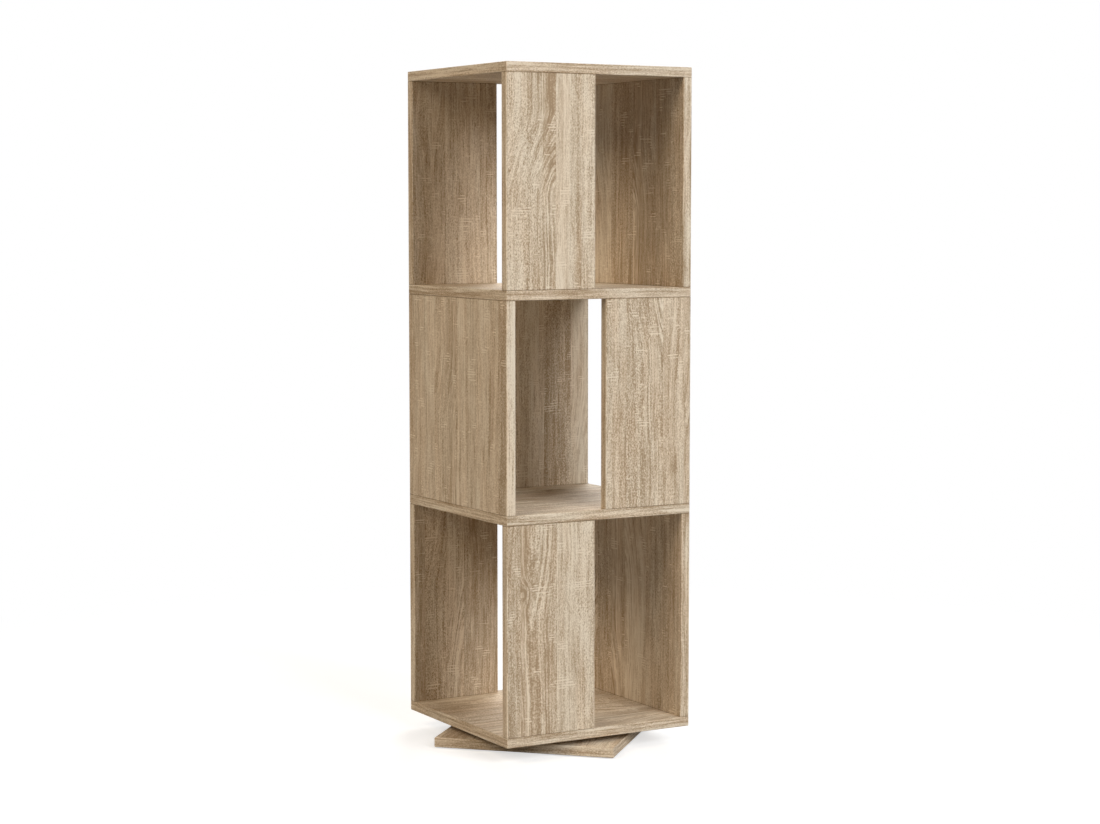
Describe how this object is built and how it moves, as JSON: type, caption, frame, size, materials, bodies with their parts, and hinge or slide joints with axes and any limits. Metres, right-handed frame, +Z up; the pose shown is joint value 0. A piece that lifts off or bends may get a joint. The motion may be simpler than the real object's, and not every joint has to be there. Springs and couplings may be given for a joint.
{
  "type": "revolving bookcase",
  "caption": "Floor-standing revolving bookcase: a square tower of stacked open cubes, each part closed by upright panels, that turns without end on a small base plate.",
  "frame": {"origin": "on the floor under the turning axis, at the middle of the base plate", "axes": "+Z up along the turning axis; X and Y parallel to the tower's sides at rest, with the fully open side of the top and bottom tiers towards -X; the base plate stands turned by 45 degrees"},
  "size_m": [0.423, 0.423, 1.1],
  "materials": {
    "board_decor": "rough-sawn light oak decor laminate on chipboard, matt, grain along the board's X side, banded edges",
    "panel_decor": "rough-sawn light oak decor laminate on chipboard, matt, grain upright, banded edges",
    "base_decor": "rough-sawn light oak decor laminate on chipboard, matt, banded edges",
    "galvanised_sheet": "bright zinc-plated pressed sheet",
    "ball_steel": "polished bearing steel, lightly greased",
    "cage_plastic": "moulded black nylon",
    "zinc_screw": "bright zinc plate",
    "beech_dowel": "plain beech, fluted look, unfinished",
    "cap_plastic": "moulded polyethylene in the decor's mid tone",
    "glide_plastic": "off-white moulded polyethylene"
  },
  "bodies": {
    "base": {"base_plate": "base_decor", "floor_glides": "glide_plastic", "bearing_lower_plate": "galvanised_sheet", "bearing_lower_screws": "zinc_screw", "bearing_eyelet": "galvanised_sheet"},
    "ball_ring": {"bearing_balls": "ball_steel", "bearing_cage": "cage_plastic"},
    "tower": {"bottom_board": "board_decor", "lower_shelf": "board_decor", "upper_shelf": "board_decor", "top_board": "board_decor", "bottom_side_panel": "panel_decor", "bottom_front_panel": "panel_decor", "bottom_rear_panel": "panel_decor", "middle_side_panel": "panel_decor", "middle_front_panel": "panel_decor", "middle_rear_panel": "panel_decor", "top_side_panel": "panel_decor", "top_front_panel": "panel_decor", "top_rear_panel": "panel_decor", "bottom_board_screws": "zinc_screw", "lower_shelf_screws": "zinc_screw", "upper_shelf_screws": "zinc_screw", "top_board_screws": "zinc_screw", "bottom_board_dowels": "beech_dowel", "lower_shelf_dowels": "beech_dowel", "upper_shelf_dowels": "beech_dowel", "top_board_dowels": "beech_dowel", "lower_shelf_caps": "cap_plastic", "upper_shelf_caps": "cap_plastic", "top_board_caps": "cap_plastic", "bearing_upper_plate": "galvanised_sheet", "bearing_upper_screws": "zinc_screw"}
  },
  "joints": [
    {"name": "tower_spin", "type": "hinge", "parent": "base", "child": "tower", "pos_m": [0, 0, 0.023], "axis": [0, 0, 1], "continuous": true},
    {"name": "ball_ring_spin", "type": "hinge", "parent": "base", "child": "ball_ring", "pos_m": [0, 0, 0.023], "axis": [0, 0, 1], "continuous": true}
  ],
  "couplings": [
    {"joint": "ball_ring_spin", "follows": "tower_spin", "ratio": 0.5}
  ]
}
